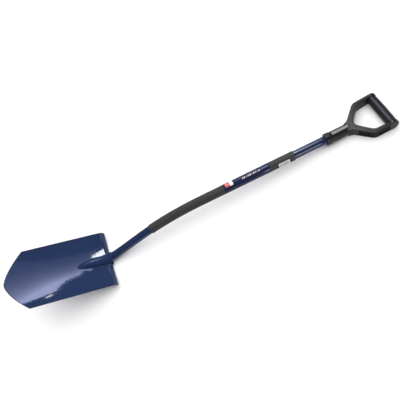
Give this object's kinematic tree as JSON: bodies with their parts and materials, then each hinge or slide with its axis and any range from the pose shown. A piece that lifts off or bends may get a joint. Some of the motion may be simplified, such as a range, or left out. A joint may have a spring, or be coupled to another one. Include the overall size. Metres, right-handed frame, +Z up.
{
  "type": "garden spade",
  "caption": "Long-handled garden spade with a dished pointed blade, cranked tubular steel shaft with a grip sleeve, and a moulded YD handle.",
  "frame": {"origin": "on the floor under the middle of the tool's bounding box, with the tool lying face up on its heel and its handle's eyes", "axes": "+X from the digging tip towards the handle, +Y to the left when looking that way, +Z up"},
  "size_m": [1.2114, 0.191, 0.1653],
  "materials": {
    "blade_paint": "gloss navy paint on pressed steel",
    "shaft_paint": "gloss dark navy paint on steel tube",
    "sleeve_plastic": "satin black sleeve",
    "label_film": "gloss printed film",
    "seal_film": "gloss printed film, half red and half white",
    "barcode_film": "matt printed label",
    "handle_plastic": "satin black polypropylene",
    "grip_plastic": "satin black polypropylene",
    "badge_plastic": "satin grey plastic",
    "rivet_steel": "zinc-plated steel"
  },
  "bodies": {
    "root": {"blade": "blade_paint", "frog_plate": "blade_paint", "plate_weld_left": "blade_paint", "plate_weld_right": "blade_paint", "neck_weld": "blade_paint", "shaft_tube": "shaft_paint", "shaft_sleeve": "sleeve_plastic", "sleeve_label": "label_film", "seal_sticker": "seal_film", "barcode_sticker": "barcode_film", "handle_moulding": "handle_plastic", "grip_bar": "grip_plastic", "socket_badge": "badge_plastic", "handle_rivet": "rivet_steel"}
  },
  "joints": []
}
